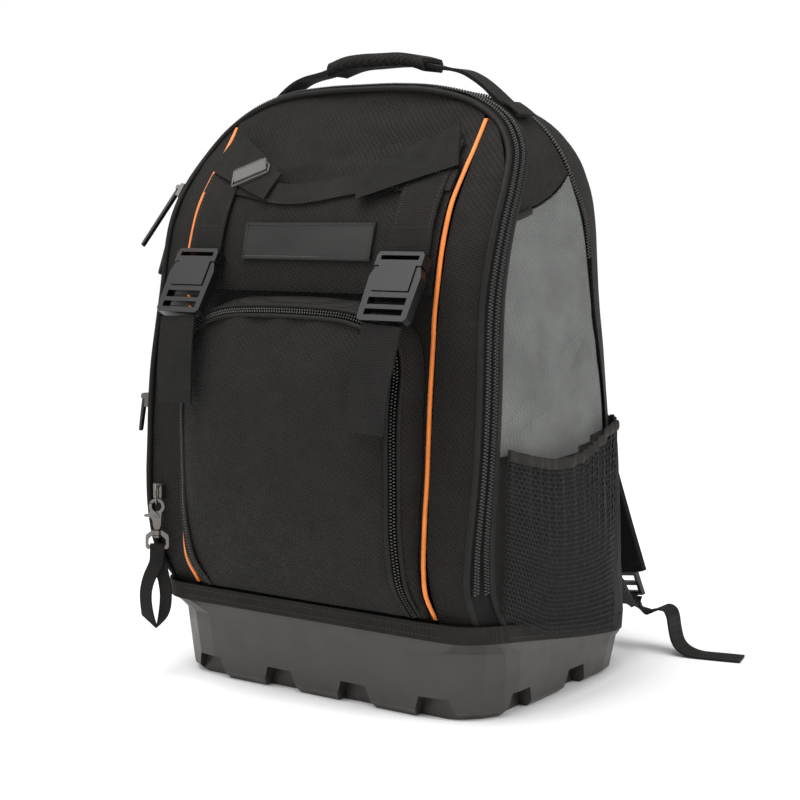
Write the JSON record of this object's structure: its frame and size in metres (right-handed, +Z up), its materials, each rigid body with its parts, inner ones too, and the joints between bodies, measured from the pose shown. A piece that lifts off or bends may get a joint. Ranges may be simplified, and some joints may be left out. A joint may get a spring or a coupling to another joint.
{
  "type": "tool backpack",
  "caption": "Upright tool backpack on a moulded base tub, with a zipped front pocket, buckled straps, net side pockets, carry handle and shoulder straps.",
  "frame": {"origin": "on the floor under the middle of the tub's flat underside", "axes": "+Z up, -Y towards the front pocket, +X to the right as seen from the front"},
  "size_m": [0.5176, 0.4042, 0.5593],
  "materials": {
    "shell_black": "coated woven cloth",
    "padding_black": "padded mesh cloth",
    "side_grey": "coated woven cloth",
    "binding_dark": "felted binding",
    "net_black": "net with bound edge",
    "webbing_black": "ribbed webbing",
    "zip_tape": "woven tape",
    "zip_chain": "coil teeth",
    "piping_orange": "round piping",
    "tub_plastic": "moulded, fine grain",
    "buckle_plastic": "satin moulded",
    "patch_rubber": "bare, raised border",
    "pull_dark": "satin moulded",
    "slider_metal": "gunmetal",
    "hook_metal": "gunmetal plated"
  },
  "bodies": {
    "bag": {"front_panel": "shell_black", "top_panel": "shell_black", "pocket_face": "shell_black", "pocket_gusset": "shell_black", "slip_pocket": "shell_black", "rear_gusset": "shell_black", "front_border_left": "shell_black", "front_border_right": "shell_black", "net_wing_left": "shell_black", "net_wing_right": "shell_black", "handle_patch_left": "shell_black", "handle_patch_right": "shell_black", "back_panel": "padding_black", "shoulder_pad_left": "padding_black", "shoulder_pad_right": "padding_black", "side_panel_left": "side_grey", "side_panel_right": "side_grey", "hem_band": "binding_dark", "slip_pocket_hem": "binding_dark", "net_pocket_left": "net_black", "net_pocket_right": "net_black", "strap_left": "webbing_black", "strap_right": "webbing_black", "strap_tail_left": "webbing_black", "strap_tail_right": "webbing_black", "webbing_loop_left": "webbing_black", "webbing_loop_right": "webbing_black", "lower_web_left": "webbing_black", "lower_web_right": "webbing_black", "lower_tail_left": "webbing_black", "lower_tail_right": "webbing_black", "handle_webbing": "webbing_black", "handle_grip": "webbing_black", "wrist_loop": "webbing_black", "main_zip_tape": "zip_tape", "rear_zip_tape": "zip_tape", "main_zip_chain_front": "zip_chain", "main_zip_chain_rear": "zip_chain", "rear_zip_chain": "zip_chain", "pocket_zip_chain": "zip_chain", "piping_left": "piping_orange", "piping_right": "piping_orange", "base_tub": "tub_plastic", "buckle_socket_left": "buckle_plastic", "buckle_socket_right": "buckle_plastic", "buckle_plug_left": "buckle_plastic", "buckle_plug_right": "buckle_plastic", "adjuster_left": "buckle_plastic", "adjuster_right": "buckle_plastic", "bare_patch": "patch_rubber", "zip_slider_upper": "slider_metal", "zip_slider_middle": "slider_metal", "zip_slider_lower": "slider_metal", "lanyard_slider": "slider_metal", "hook_body": "hook_metal", "lanyard_ring": "hook_metal"},
    "pull_upper": {"zip_pull_upper": "pull_dark"},
    "pull_middle": {"zip_pull_middle": "pull_dark"},
    "pull_lower": {"zip_pull_lower": "pull_dark"},
    "gate": {"hook_gate": "hook_metal"}
  },
  "joints": [
    {"name": "upper_pull_swing", "type": "hinge", "parent": "bag", "child": "pull_upper", "pos_m": [-0.18286, -0.09824, 0.44173], "axis": [-0.0672, 0.8457, -0.5294], "range_deg": [0, 140]},
    {"name": "middle_pull_swing", "type": "hinge", "parent": "bag", "child": "pull_middle", "pos_m": [-0.18472, -0.10267, 0.41497], "axis": [-0.0037, 0.9508, -0.3097], "range_deg": [0, 140]},
    {"name": "lower_pull_swing", "type": "hinge", "parent": "bag", "child": "pull_lower", "pos_m": [-0.188, -0.14311, 0.25303], "axis": [-0.0876, 0.9938, -0.0688], "range_deg": [0, 140]},
    {"name": "hook_gate_opening", "type": "hinge", "parent": "bag", "child": "gate", "pos_m": [-0.15621, -0.16653, 0.147], "axis": [0.5736, -0.8192, 0], "range_deg": [0, 30], "stiffness_Nm_per_rad": 0.005, "springref_deg": -17.19}
  ]
}
